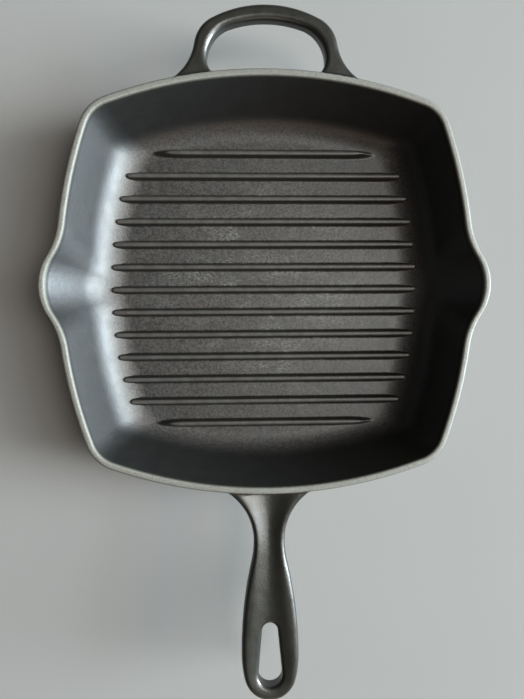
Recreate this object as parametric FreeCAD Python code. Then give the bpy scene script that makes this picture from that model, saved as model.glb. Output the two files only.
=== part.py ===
import FreeCAD, Part
import math
import os

# Square ribbed skillet, one iron casting, in millimetres.
# Origin: centre of the flat underside. +Z up, the long handle runs towards -Y,
# the helper handle towards +Y, the two pour spouts point along -X and +X.
# Each region of the casting is a solid of its own, and neighbours meet face to face.

# Plan outline at the top of the rim: four bowed sides joined by corner arcs
HALF_WIDTH = 130.0
HALF_LENGTH = 131.0
SIDE_RADIUS = 296.0
END_RADIUS = 288.0
CORNER_RADIUS = 24.0
FLOOR_CORNER_RADIUS = 17.0

# Heights and walls
RIM_HEIGHT = 46.5
FLOOR_THICKNESS = 4.5
DRAFT = math.radians(20.0)
RIM_THICKNESS = 4.2
RIM_BAND_HEIGHT = 3.0
RIM_OUTER_FILLET = 1.9
RIM_INNER_FILLET = 1.6
SIDE_FILLET = 25.0
END_FILLET = 17.0
OUTER_FILLET = 18.0
FOOT_STEPS = 7
RIM_STEPS = 4

# Pour spouts, widest at the rim and fading out at the floor
SPOUT_PROJECTION = 10.5
SPOUT_FADE = 0.3
SPOUT_TIP_RADIUS = 35.0
SPOUT_BLEND_RADIUS = 46.0

# Plan angles, seen from each bowed side's centre, that the end walls and the spouts take up
END_WALL_HALF_ANGLE = 12.0
SPOUT_HALF_ANGLE = 7.8

# Grill ribs
RIB_PITCH = 15.4
RIB_HALF_LENGTHS = [104.0, 103.75, 102.45, 100.45, 97.35, 92.8, 78.5]
RIB_OVERRUN = 3.2
RIB_HEIGHT = 4.3
RIB_FOOT_HALF = 3.2
RIB_SHOULDER_HALF = 1.9
RIB_SHOULDER_RISE = 0.85
RIB_CROWN_HALF = 1.1
RIB_NOSE = 4.5
OUTER_RIB_NOSE = 24.0
RIB_END_SLOPE = 3.0
OUTER_RIB_END_SLOPE = 12.0

# Long handle: widths are of the plan outline, distances run outwards from the pan's centre
HANDLE_THICKNESS = 10.5
HANDLE_DROP = 1.0
HANDLE_SLOPE = 3.0
NECK_DISTANCE = 160.8
NECK_HALF_WIDTH = 9.85
ROOT_FLARE_RADIUS = 34.5
ROOT_FLARE_TURN = 75.0
NECK_RADIUS = 61.0
NECK_TURN = 13.2
GRIP_RADIUS = 252.0
TAIL_RADIUS = 71.0
TAIL_TURN = 11.0
SHOULDER_RADIUS = 35.5
SHOULDER_TURN = 7.2
HANDLE_TOP_FILLET = 3.0
HANDLE_UNDER_FILLET = 4.2
HANG_NEAR_RADIUS = 5.0
HANG_NEAR_DISTANCE = 218.4
HANG_FAR_RADIUS = 7.5
HANG_FAR_DISTANCE = 245.6
HANG_FILLET = 1.7

# Scoop along the top of the long handle
GROOVE_START = 143.0
GROOVE_LENGTH = 100.0
GROOVE_DEPTH = 2.2
GROOVE_TILT = 0.6
GROOVE_NECK_RADIUS = 14.0
GROOVE_GRIP_RADIUS = 60.0

# Helper handle, a loop behind the back wall
LOOP_REACH = 169.6
LOOP_THICKNESS = 9.5
LOOP_TOP_RADIUS = 71.5
LOOP_TOP_TURN = 28.0
LOOP_SHOULDER_RADIUS = 19.8
LOOP_SHOULDER_TURN = 52.0
LOOP_FLARE_RADIUS = 30.8
LOOP_FLARE_TURN = 60.0
LOOP_BAR = 9.2
FINGER_TOP_RADIUS = 76.0
FINGER_TOP_TURN = 17.0
FINGER_SHOULDER_RADIUS = 19.6
FINGER_FOOT_RADIUS = 11.0
FINGER_FOOT_TURN = 60.0
LOOP_FILLET = 3.0

# Handles start this far out, inside the pan, before the pan is cut from them
EMBED_DISTANCE = 105.0
FAR = 800.0
CLOSE = 1e-4


def meet(centre_a, radius_a, centre_b, radius_b, sign):
    """One crossing of two circles in plan; sign picks the side of the line a to b."""
    dx = centre_b[0] - centre_a[0]
    dy = centre_b[1] - centre_a[1]
    gap = math.hypot(dx, dy)
    along = (radius_a ** 2 - radius_b ** 2 + gap ** 2) / (2 * gap)
    across = sign * math.sqrt(radius_a ** 2 - along ** 2)
    return (centre_a[0] + (along * dx - across * dy) / gap,
            centre_a[1] + (along * dy + across * dx) / gap)


def towards(start, goal, distance):
    """The point at a distance from start on the line to goal, or behind start."""
    gap = math.hypot(goal[0] - start[0], goal[1] - start[1])
    return (start[0] + (goal[0] - start[0]) * distance / gap,
            start[1] + (goal[1] - start[1]) * distance / gap)


def arc_through(start, centre, end, z):
    """The shorter arc from start to end about a centre."""
    radius = math.hypot(start[0] - centre[0], start[1] - centre[1])
    chord_middle = ((start[0] + end[0]) / 2, (start[1] + end[1]) / 2)
    middle = towards(centre, chord_middle, radius)
    points = [FreeCAD.Vector(p[0], p[1], z) for p in (start, middle, end)]
    return Part.Arc(*points).toShape()


def quarter(side_inset, end_inset, corner, spout):
    """Arcs of the +X +Y quarter as (start, centre, end), from the spout's tip to the end wall."""
    side = (HALF_WIDTH - SIDE_RADIUS, 0.0)
    end = (0.0, HALF_LENGTH - END_RADIUS)
    side_radius = SIDE_RADIUS - side_inset
    end_radius = END_RADIUS - end_inset
    tip_radius = SPOUT_TIP_RADIUS - RIM_THICKNESS / 2
    blend_radius = SPOUT_BLEND_RADIUS + RIM_THICKNESS / 2
    tip = (HALF_WIDTH - side_inset + spout - tip_radius, 0.0)
    blend = meet(side, side_radius + blend_radius, tip, tip_radius + blend_radius, 1)
    bend = meet(side, side_radius - corner, end, end_radius - corner, 1)
    tip_start = (tip[0] + tip_radius, 0.0)
    tip_end = towards(tip, blend, tip_radius)
    side_start = towards(side, blend, side_radius)
    side_end = towards(side, bend, side_radius)
    end_start = towards(end, bend, end_radius)
    end_middle = (0.0, HALF_LENGTH - end_inset)
    return [(tip_start, tip, tip_end), (tip_end, blend, side_start),
            (side_start, side, side_end), (side_end, bend, end_start),
            (end_start, end, end_middle)]


def mirrored(arcs, sx, sy):
    return [tuple((p[0] * sx, p[1] * sy) for p in arc) for arc in arcs]


def ring(side_inset, end_inset, corner, spout, z):
    """Closed outline of the pan in plan, at given distances inside the rim's outer edge."""
    arcs = quarter(side_inset, end_inset, corner, spout)
    back = [arc[::-1] for arc in arcs[::-1]]
    loop = arcs + mirrored(back, -1, 1) + mirrored(arcs, -1, -1) + mirrored(back, 1, -1)
    return Part.Wire([arc_through(a, c, b, z) for a, c, b in loop])


def face_inset(rim_inset, bottom, fillet, z):
    """Inset of a wall's face at a height: a rounding up from the bottom, then the draft."""
    if z > bottom + fillet * (1 - math.sin(DRAFT)):
        return rim_inset + (RIM_HEIGHT - z) * math.tan(DRAFT)
    centre = rim_inset + (RIM_HEIGHT - bottom - fillet) * math.tan(DRAFT) + fillet / math.cos(DRAFT)
    return centre - math.sqrt(fillet ** 2 - (fillet - z + bottom) ** 2)


def foot_profile(rim_inset, bottom, side_fillet, end_fillet):
    """Rounding between floor and walls as (side inset, end inset, height), floor end first."""
    angles = [(math.pi / 2 - DRAFT) * step / FOOT_STEPS for step in range(FOOT_STEPS + 1)]
    heights = [bottom + side_fillet * (1 - math.cos(a)) for a in angles]
    return [(face_inset(rim_inset, bottom, side_fillet, z), face_inset(rim_inset, bottom, end_fillet, z), z)
            for z in heights]


def rim_profile(edge_inset, fillet, inwards):
    """Rounding at one edge of the rim's top as (side inset, end inset, height), wall end first."""
    sweep = math.pi / 2 + inwards * DRAFT
    centre = edge_inset + inwards * fillet * math.tan(sweep / 2)
    angles = [sweep * (1 - step / RIM_STEPS) for step in range(RIM_STEPS + 1)]
    insets = [centre - inwards * fillet * math.sin(a) for a in angles]
    return [(inset, inset, RIM_HEIGHT - fillet * (1 - math.cos(a))) for inset, a in zip(insets, angles)]


def bowl(profile, rim_inset, bottom):
    """Solid whose outline follows a profile from bottom to rim."""
    depth = RIM_HEIGHT - bottom
    rings = []
    for side_inset, end_inset, z in profile:
        share = (RIM_HEIGHT - z) / depth
        corner = CORNER_RADIUS - rim_inset
        corner += (FLOOR_CORNER_RADIUS - corner) * share
        spout = SPOUT_PROJECTION + (SPOUT_FADE - SPOUT_PROJECTION) * share
        rings.append(ring(side_inset, end_inset, corner, spout, z))
    return Part.makeLoft(rings, True, True)


def pan_outside():
    edge = -RIM_OUTER_FILLET * (1 / math.cos(DRAFT) + math.tan(DRAFT) - 1)
    foot = foot_profile(edge, 0.0, OUTER_FILLET, OUTER_FILLET)
    profile = foot + rim_profile(edge, RIM_OUTER_FILLET, 1)
    return bowl(profile, edge, 0.0)


def pan_inside():
    foot = foot_profile(RIM_THICKNESS, FLOOR_THICKNESS, SIDE_FILLET, END_FILLET)
    profile = foot + rim_profile(RIM_THICKNESS, RIM_INNER_FILLET, -1)
    return bowl(profile, RIM_THICKNESS, FLOOR_THICKNESS), foot[0][:2]


def block(x0, x1, y0, y1, z0, z1):
    return Part.makeBox(x1 - x0, y1 - y0, z1 - z0, FreeCAD.Vector(x0, y0, z0))


def top_edges(shape, z, wanted):
    """Edges lying flat at a height that wanted() accepts by their middle point."""
    found = []
    for edge in shape.Edges:
        middle = edge.valueAt((edge.FirstParameter + edge.LastParameter) / 2)
        flat = abs(edge.BoundBox.ZMax - z) < CLOSE and abs(edge.BoundBox.ZMin - z) < CLOSE
        if flat and wanted(middle):
            found.append(edge)
    return found


def ogive(half_length, half_width, nose, z):
    """Long rib outline: straight flanks closed by two arcs at each end."""
    radius = (nose ** 2 + half_width ** 2) / (2 * half_width)
    flat = half_length - nose
    tip = FreeCAD.Vector(half_length, 0, z)
    lean = math.asin(nose / radius) / 2
    edges = []
    for sx, sy in ((1, 1), (-1, 1), (-1, -1), (1, -1)):
        shoulder = FreeCAD.Vector(sx * flat, sy * half_width, z)
        middle = FreeCAD.Vector(sx * (flat + radius * math.sin(lean)),
                                sy * (half_width - radius * (1 - math.cos(lean))), z)
        end = FreeCAD.Vector(sx * tip.x, 0, z)
        points = (end, middle, shoulder) if sx * sy > 0 else (shoulder, middle, end)
        edges.append(Part.Arc(*points).toShape())
    upper = Part.makeLine(FreeCAD.Vector(flat, half_width, z), FreeCAD.Vector(-flat, half_width, z))
    lower = Part.makeLine(FreeCAD.Vector(-flat, -half_width, z), FreeCAD.Vector(flat, -half_width, z))
    return Part.Wire([edges[0], upper, edges[1], edges[2], lower, edges[3]])


def rib(number):
    """Grill rib counted from the middle one, which is 0; the outermost ends taper longer."""
    outermost = abs(number) == len(RIB_HALF_LENGTHS) - 1
    length = RIB_HALF_LENGTHS[abs(number)] + RIB_OVERRUN
    nose = OUTER_RIB_NOSE if outermost else RIB_NOSE
    slope = OUTER_RIB_END_SLOPE if outermost else RIB_END_SLOPE
    levels = [(0.0, RIB_FOOT_HALF), (RIB_SHOULDER_RISE, RIB_SHOULDER_HALF), (1.0, RIB_CROWN_HALF)]
    sections = [ogive(length - slope * rise, half, nose * half / RIB_FOOT_HALF,
                      FLOOR_THICKNESS + RIB_HEIGHT * rise) for rise, half in levels]
    shape = Part.makeLoft(sections, True, True)
    return shape.translated(FreeCAD.Vector(0, RIB_PITCH * number, 0))


def arc_chain(start, heading, bends):
    """Tangent arcs from a start point: each bend is (radius, turn), left turns positive, degrees."""
    edges = []
    x, y = start
    for radius, turn in bends:
        side = math.copysign(1.0, turn)
        centre_angle = heading + side * 90
        cx = x + radius * math.cos(math.radians(centre_angle))
        cy = y + radius * math.sin(math.radians(centre_angle))

        def on_arc(part):
            angle = math.radians(centre_angle + 180 + turn * part)
            return FreeCAD.Vector(cx + radius * math.cos(angle), cy + radius * math.sin(angle), 0)

        edges.append(Part.Arc(on_arc(0), on_arc(0.5), on_arc(1)).toShape())
        heading += turn
        x, y = on_arc(1).x, on_arc(1).y
    return edges, (x, y)


def mirrored_face(edges, open_start, open_end):
    """Face between a half outline and its mirror image across the YZ plane."""
    across = FreeCAD.Vector(1, 0, 0)
    others = [edge.mirror(FreeCAD.Vector(0, 0, 0), across) for edge in edges]
    closing = []
    for x, y in (open_start, open_end):
        if abs(x) > CLOSE:
            closing.append(Part.makeLine(FreeCAD.Vector(x, y, 0), FreeCAD.Vector(-x, y, 0)))
    return Part.Face(Part.Wire(Part.__sortEdges__(edges + others + closing)))


def slab_with_fillets(face, thickness, top_fillet, under_fillet):
    """Plate from z = -thickness to 0 over a face, its upper and lower edges rounded."""
    plate = face.extrude(FreeCAD.Vector(0, 0, -thickness))
    plate = plate.makeFillet(top_fillet, top_edges(plate, 0.0, lambda p: True))
    return plate.makeFillet(under_fillet, top_edges(plate, -thickness, lambda p: True))


def handle_face():
    """Plan outline of the long handle, drawn towards -Y with its tip on the centre line."""
    flare, root = arc_chain((NECK_HALF_WIDTH, -NECK_DISTANCE), 90, [(ROOT_FLARE_RADIUS, -ROOT_FLARE_TURN)])
    bends = [(NECK_RADIUS, NECK_TURN), (GRIP_RADIUS, -NECK_TURN), (TAIL_RADIUS, -TAIL_TURN),
             (SHOULDER_RADIUS, -SHOULDER_TURN)]
    grip, end = arc_chain((NECK_HALF_WIDTH, -NECK_DISTANCE), -90, bends)
    turned = TAIL_TURN + SHOULDER_TURN
    tip_radius = end[0] / math.cos(math.radians(turned))
    tip, last = arc_chain(end, -90 - turned, [(tip_radius, turned - 90)])
    root_out = (root[0], -EMBED_DISTANCE)
    neck = Part.makeLine(FreeCAD.Vector(root[0], root[1], 0), FreeCAD.Vector(root_out[0], root_out[1], 0))
    return mirrored_face([neck] + flare + grip + tip, root_out, (0.0, last[1]))


def hang_hole():
    """Teardrop slot: two circles and their common tangents, with flared rims above and below."""
    spread = HANG_FAR_DISTANCE - HANG_NEAR_DISTANCE
    lean = math.degrees(math.asin((HANG_FAR_RADIUS - HANG_NEAR_RADIUS) / spread))
    near = arc_chain((0.0, -HANG_NEAR_DISTANCE + HANG_NEAR_RADIUS), 0, [(HANG_NEAR_RADIUS, lean - 90)])
    far_start = (HANG_FAR_RADIUS * math.cos(math.radians(lean)),
                 -HANG_FAR_DISTANCE + HANG_FAR_RADIUS * math.sin(math.radians(lean)))
    far = arc_chain(far_start, lean - 90, [(HANG_FAR_RADIUS, -90 - lean)])
    side = Part.makeLine(FreeCAD.Vector(near[1][0], near[1][1], 0),
                         FreeCAD.Vector(far_start[0], far_start[1], 0))
    face = mirrored_face(near[0] + [side] + far[0], (0.0, 0.0), (0.0, 0.0))
    return face.extrude(FreeCAD.Vector(0, 0, -HANDLE_THICKNESS))


def handle_groove():
    """Scoop for the handle's top: a ball at the root end that runs out into a cone on its side."""
    widening = GROOVE_GRIP_RADIUS - GROOVE_NECK_RADIUS
    height = math.sqrt(GROOVE_LENGTH ** 2 - widening ** 2)
    half_angle = math.atan(widening / height)
    cone = Part.makeCone(GROOVE_NECK_RADIUS, GROOVE_GRIP_RADIUS, height,
                         FreeCAD.Vector(0, 0, 0), FreeCAD.Vector(0, -1, 0))
    ball_y = -GROOVE_NECK_RADIUS * math.tan(half_angle)
    ball = Part.makeSphere(GROOVE_NECK_RADIUS / math.cos(half_angle), FreeCAD.Vector(0, ball_y, 0))
    origin = FreeCAD.Vector(0, 0, 0)
    scoop = cone.fuse(ball).rotated(origin, FreeCAD.Vector(1, 0, 0), -math.degrees(half_angle))
    low = -GROOVE_NECK_RADIUS / math.cos(half_angle) + ball_y * math.sin(-half_angle)
    scoop = scoop.translated(FreeCAD.Vector(0, 0, -GROOVE_DEPTH - low))
    scoop = scoop.rotated(origin, FreeCAD.Vector(1, 0, 0), -GROOVE_TILT)
    return scoop.translated(FreeCAD.Vector(0, -GROOVE_START, 0))


def long_handle(outer):
    shape = slab_with_fillets(handle_face(), HANDLE_THICKNESS, HANDLE_TOP_FILLET, HANDLE_UNDER_FILLET)
    shape = shape.cut(hang_hole())
    rims = top_edges(shape, 0.0, in_slot) + top_edges(shape, -HANDLE_THICKNESS, in_slot)
    shape = shape.makeFillet(HANG_FILLET, rims)
    shape = shape.cut(handle_groove())
    root = FreeCAD.Vector(0, -HALF_LENGTH, 0)
    shape = shape.rotated(root, FreeCAD.Vector(1, 0, 0), -HANDLE_SLOPE)
    shape = shape.translated(FreeCAD.Vector(0, 0, RIM_HEIGHT - HANDLE_DROP))
    return shape.cut(outer)


def in_slot(point):
    """True for a point on the edge of the hanging slot."""
    first = HANG_NEAR_DISTANCE - HANG_NEAR_RADIUS
    last = HANG_FAR_DISTANCE + HANG_FAR_RADIUS
    beside = abs(point.x) < HANG_FAR_RADIUS + CLOSE
    return first - CLOSE < -point.y < last + CLOSE and beside


def helper_handle(outer):
    """Loop grip: a bowed bar whose two arms flare into the back wall."""
    bends = [(LOOP_TOP_RADIUS, -LOOP_TOP_TURN), (LOOP_SHOULDER_RADIUS, -LOOP_SHOULDER_TURN),
             (LOOP_FLARE_RADIUS, LOOP_FLARE_TURN)]
    edges, end = arc_chain((0.0, LOOP_REACH), 0, bends)
    foot = (end[0], EMBED_DISTANCE)
    edges.append(Part.makeLine(FreeCAD.Vector(end[0], end[1], 0), FreeCAD.Vector(foot[0], foot[1], 0)))
    body = mirrored_face(edges, (0.0, LOOP_REACH), foot)

    bends = [(FINGER_TOP_RADIUS, -FINGER_TOP_TURN), (FINGER_SHOULDER_RADIUS, FINGER_TOP_TURN - 90),
             (FINGER_FOOT_RADIUS, -FINGER_FOOT_TURN)]
    edges, end = arc_chain((0.0, LOOP_REACH - LOOP_BAR), 0, bends)
    foot = (end[0], EMBED_DISTANCE)
    edges.append(Part.makeLine(FreeCAD.Vector(end[0], end[1], 0), FreeCAD.Vector(foot[0], foot[1], 0)))
    gap = mirrored_face(edges, (0.0, LOOP_REACH - LOOP_BAR), foot)

    shape = slab_with_fillets(body.cut(gap).Faces[0], LOOP_THICKNESS, LOOP_FILLET, LOOP_FILLET)
    shape = shape.translated(FreeCAD.Vector(0, 0, RIM_HEIGHT - HANDLE_DROP))
    return shape.cut(outer)


def wedge(apex, heading, half_angle, top):
    """Upright wedge from an apex in plan, opening along a heading, angles in degrees."""
    corners = [apex]
    for turn in (-half_angle, half_angle):
        angle = math.radians(heading + turn)
        corners.append((apex[0] + FAR * math.cos(angle), apex[1] + FAR * math.sin(angle)))
    points = [FreeCAD.Vector(x, y, 0) for x, y in corners]
    outline = Part.makePolygon(points + points[:1])
    return Part.Face(outline).extrude(FreeCAD.Vector(0, 0, top))


def wall_regions(top):
    """Upright blocks that part the wall into end walls, spouts and corners."""
    end_apex = END_RADIUS - HALF_LENGTH
    side_apex = SIDE_RADIUS - HALF_WIDTH
    halves = {
        "front": block(-FAR, FAR, -FAR, 0, 0, top), "back": block(-FAR, FAR, 0, FAR, 0, top),
        "left": block(-FAR, 0, -FAR, FAR, 0, top), "right": block(0, FAR, -FAR, FAR, 0, top),
    }
    wedges = {
        "front": wedge((0.0, end_apex), -90, END_WALL_HALF_ANGLE, top),
        "back": wedge((0.0, -end_apex), 90, END_WALL_HALF_ANGLE, top),
        "left": wedge((side_apex, 0.0), 180, SPOUT_HALF_ANGLE, top),
        "right": wedge((-side_apex, 0.0), 0, SPOUT_HALF_ANGLE, top),
    }
    parts = {side: halves[side].common(wedges[side]) for side in halves}
    regions = {"wall_front": parts["front"], "wall_back": parts["back"],
               "pour_spout_left": parts["left"], "pour_spout_right": parts["right"]}
    for end in ("front", "back"):
        for side in ("left", "right"):
            quadrant = halves[end].common(halves[side])
            regions["corner_" + end + "_" + side] = quadrant.cut(parts[end]).cut(parts[side])
    return regions


def save(node, shape):
    print(node, "solids", len(shape.Solids), "valid", shape.isValid(), "volume", round(shape.Volume))
    shape.exportStep("parts/" + node + ".step")


def main():
    os.makedirs("parts", exist_ok=True)
    outer = pan_outside()
    cavity, floor_insets = pan_inside()
    boundary = ring(*floor_insets, FLOOR_CORNER_RADIUS, SPOUT_FADE, 0.0)
    plug = Part.Face(boundary).extrude(FreeCAD.Vector(0, 0, FLOOR_THICKNESS))
    save("pan_floor", plug.common(outer))

    wall = outer.cut(cavity).cut(plug)
    band_bottom = RIM_HEIGHT - RIM_BAND_HEIGHT
    for node, region in wall_regions(band_bottom).items():
        save(node, wall.common(region))
    save("rim_band", wall.common(block(-FAR, FAR, -FAR, FAR, band_bottom, RIM_HEIGHT)))

    last = len(RIB_HALF_LENGTHS) - 1
    for number in range(-last, last + 1):
        save("grill_rib_%02d" % (number + last + 1), rib(number).cut(wall))
    save("long_handle", long_handle(outer))
    save("helper_handle", helper_handle(outer))


main()
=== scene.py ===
import math

import bmesh
import bpy
import numpy as np
from mathutils import Matrix, Vector
from mathutils.bvhtree import BVHTree


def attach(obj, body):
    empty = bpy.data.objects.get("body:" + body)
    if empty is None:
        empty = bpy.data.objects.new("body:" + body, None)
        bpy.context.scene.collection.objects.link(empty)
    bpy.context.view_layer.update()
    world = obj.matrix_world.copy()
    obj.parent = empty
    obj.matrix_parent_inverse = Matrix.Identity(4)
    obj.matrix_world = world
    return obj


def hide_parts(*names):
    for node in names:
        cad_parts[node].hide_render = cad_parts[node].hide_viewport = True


# Square ribbed skillet of enamelled cast iron. Dimensions are in millimetres, as in
# part.py, and meshes are written in metres. Origin at the centre of the underside.
MM = 0.001

# Plan outline at the rim and the wall's profile
HALF_WIDTH = 130.0
HALF_LENGTH = 131.0
SIDE_RADIUS = 296.0
END_RADIUS = 288.0
CORNER_RADIUS = 24.0
FLOOR_CORNER_RADIUS = 17.0
RIM_HEIGHT = 46.5
FLOOR_THICKNESS = 4.5
DRAFT = math.radians(20.0)
RIM_THICKNESS = 4.2
RIM_BAND_HEIGHT = 3.0
RIM_OUTER_FILLET = 1.9
RIM_INNER_FILLET = 1.6
SIDE_FILLET = 25.0
END_FILLET = 17.0
OUTER_FILLET = 18.0
SPOUT_PROJECTION = 10.5
SPOUT_FADE = 0.3
SPOUT_TIP_RADIUS = 35.0
SPOUT_BLEND_RADIUS = 46.0
END_WALL_HALF_ANGLE = math.radians(12.0)
SPOUT_HALF_ANGLE = math.radians(7.8)

# Meshes of the pan: the columns' spacing at the rim, the steps up a section, and a short
# first step up the rounding, SEAM_ANGLE, that keeps the floor's shading flat. Points closer
# than WELD, in metres, are merged, and edges sharper than CREASE stay sharp.
COLUMN = 1.6
FOOT_STEPS = 20
WALL_STEPS = 14
RIM_STEPS = 8
FLOOR_RINGS = 10
SEAM_ANGLE = math.radians(0.4)
WELD = 1e-7
CREASE = math.radians(40.0)

# Grill ribs: narrow rounded crown, steep flanks and a soft foot, all at one level
RIB_PITCH = 15.4
RIB_HALF_LENGTHS = [104.0, 103.75, 102.45, 100.45, 97.35, 92.8, 78.5]
RIB_HEIGHT = 4.3
RIB_CROWN_HALF_WIDTH = 0.4
RIB_CROWN_DOME = 0.05
RIB_CROWN_RADIUS = 1.2
RIB_FOOT_RADIUS = 1.1
RIB_FLANK = math.radians(70.0)
RIB_OVERRUN = 3.2
RIB_SINK = 0.3
RIB_BLEND = 0.5
LEAST_SHARE = 1e-3
RIB_NOSE_STRETCH = 1.3
OUTER_RIB_NOSE_STRETCH = 7.0
RIB_LENGTH_POINTS = 110
RIB_NOSE_POINTS = 25
RIB_ROUND_POINTS = 7
RIB_FLANK_POINTS = 5
RIB_CROWN_POINTS = 4

# Long handle
HANDLE_THICKNESS = 10.5
HANDLE_DROP = 1.0
HANDLE_SLOPE = math.radians(3.0)
NECK_DISTANCE = 160.8
NECK_HALF_WIDTH = 9.85
ROOT_FLARE_RADIUS = 34.5
ROOT_FLARE_TURN = 75.0
NECK_RADIUS = 61.0
NECK_TURN = 13.2
GRIP_RADIUS = 252.0
TAIL_RADIUS = 71.0
TAIL_TURN = 11.0
SHOULDER_RADIUS = 35.5
SHOULDER_TURN = 7.2
HANDLE_TOP_FILLET = 3.2
HANDLE_UNDER_FILLET = 4.2
HANG_NEAR_RADIUS = 5.0
HANG_NEAR_DISTANCE = 218.4
HANG_FAR_RADIUS = 7.5
HANG_FAR_DISTANCE = 245.6
HANG_FILLET = 2.0
ROOT_LIMIT = 37.0

# Scoop in the long handle's top, along its distance from the pan's centre
SCOOP_STATIONS = [128.0, 137.0, 147.0, 160.0, 178.0, 200.0, 225.0, 245.0, 260.0]
SCOOP_HALF_WIDTHS = [21.0, 16.0, 11.8, 9.0, 9.6, 11.6, 14.6, 15.6, 13.0]
SCOOP_DEPTHS = [3.0, 3.0, 2.7, 2.2, 1.9, 2.0, 2.4, 2.4, 0.0]

# Helper handle
LOOP_REACH = 169.6
LOOP_THICKNESS = 9.5
LOOP_TOP_RADIUS = 71.5
LOOP_TOP_TURN = 28.0
LOOP_SHOULDER_RADIUS = 19.8
LOOP_SHOULDER_TURN = 52.0
LOOP_FLARE_RADIUS = 30.8
LOOP_FLARE_TURN = 60.0
LOOP_BAR = 9.2
FINGER_TOP_RADIUS = 76.0
FINGER_TOP_TURN = 17.0
FINGER_SHOULDER_RADIUS = 19.6
FINGER_FOOT_RADIUS = 11.0
FINGER_FOOT_TURN = 60.0
LOOP_FILLET = 3.1
LOOP_LIMIT = 61.0

# Blend of both handles into the wall, tight at the rim and full below it. A handle ends
# EMBED inside the wall, and its skirt ends at BLEND_REACH of the blend's width.
BLEND_TOP = 0.8
BLEND_UNDER = 9.0
BLEND_TOP_HEIGHT = 44.0
BLEND_UNDER_HEIGHT = 37.0
BLEND_REACH = 0.97
EMBED = 2.0

# Nearly straight arcs that carry the handles' outlines on into the pan
EXTEND_RADIUS = 5000.0
EXTEND_TURN = 0.5
FINGER_EXTEND_TURN = 0.2

# Handle meshes: grid cell, the box round each handle as (lowest, highest) corner, the
# filling of grid corners where the mesh would pinch, and the rounds and the step with which
# vertices settle on the exact surface
CELL = 0.75
LONG_HANDLE_BOX = ((-56, -(HANG_FAR_DISTANCE + HANG_FAR_RADIUS + 10), 20), (56, -112, 56))
HELPER_HANDLE_BOX = ((-78, 108, 26), (78, LOOP_REACH + 3, 50))
PINCH_ROUNDS = 4
PINCH_DEPTH = CELL / 100
SETTLE_ROUNDS = 4
SETTLE_STEP = 0.02
LEAST_SLOPE = 0.2
HANDLE_CREASE = math.radians(60.0)

# Heights over the underside between which one finish, or painted shade, gives way to the next
WORN_FOOT = (4.6, 13.0)
RIB_FLANK_START = (4.6, 5.3)
RIB_CROWN_START = (7.9, 8.6)
RIM_OUTER_EDGE = (44.7, 45.5)
# Below these heights the rim's rounded edges carry painted shade
RIM_SHADED_EDGE = (45.7, 46.3)

# Roughness of the finishes, as (middle, drift) where it drifts from place to place
ENAMEL_ROUGHNESS = (0.49, 0.02)
HANDLE_ROUGHNESS = (0.34, 0.03)
RIM_ROUGHNESS = 0.5
PAPER_ROUGHNESS = 0.9

# Stage and camera, in metres but for the lens and its sensor. The camera looks down on the
# pan from a little towards the long handle, and is turned a few degrees off the vertical.
STAGE_HALF = 3.0
ROOM_STRENGTH = 0.02
CAMERA_PLACE = (-0.0152, -0.0239, 0.3708)
CAMERA_TURN_X = math.radians(2.767)
CAMERA_TURN_Y = math.radians(2.006)
CAMERA_TURN_Z = math.radians(0.4926)
CAMERA_LENS = 27.04
CAMERA_SENSOR = 36.0
CAMERA_CLIP = 0.01

# Lights as (name, azimuth, elevation, (width, height), watts, colour), in degrees and metres:
# a tall window on the right, strongest low down and bluest at its sill, a skylight over it
# and a faint warm glow from the front
LIGHT_DISTANCE = 5.0
LIGHTS = [
    ("window_sill", 0.0, 8.0, (1.9, 1.1), 400.0, (0.73, 0.87, 1.0)),
    ("window_low", 0.0, 20.0, (1.9, 1.1), 330.0, (0.82, 0.95, 1.0)),
    ("window_mid", 0.0, 32.0, (1.9, 1.1), 145.0, (0.97, 1.0, 0.94)),
    ("window_top", 0.0, 44.0, (1.9, 1.1), 76.0, (0.85, 0.95, 1.0)),
    ("skylight", 0.0, 64.0, (1.9, 2.2), 112.0, (0.98, 0.96, 0.90)),
    ("glow_front", -90.0, 25.0, (1.9, 1.1), 18.0, (1.0, 0.74, 0.56)),
]


# ---------------------------------------------------------------- plan outline

def crossing(centre_a, radius_a, centre_b, radius_b):
    """The crossing of two circles on the left of the line from a to b."""
    dx = centre_b[0] - centre_a[0]
    dy = centre_b[1] - centre_a[1]
    gap = math.hypot(dx, dy)
    along = (radius_a ** 2 - radius_b ** 2 + gap ** 2) / (2 * gap)
    across = math.sqrt(radius_a ** 2 - along ** 2)
    return (centre_a[0] + (along * dx - across * dy) / gap,
            centre_a[1] + (along * dy + across * dx) / gap)


def bearing(centre, goal):
    return math.atan2(goal[1] - centre[1], goal[0] - centre[0])


SIDE_CENTRE = (HALF_WIDTH - SIDE_RADIUS, 0.0)
END_CENTRE = (0.0, HALF_LENGTH - END_RADIUS)


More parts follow.
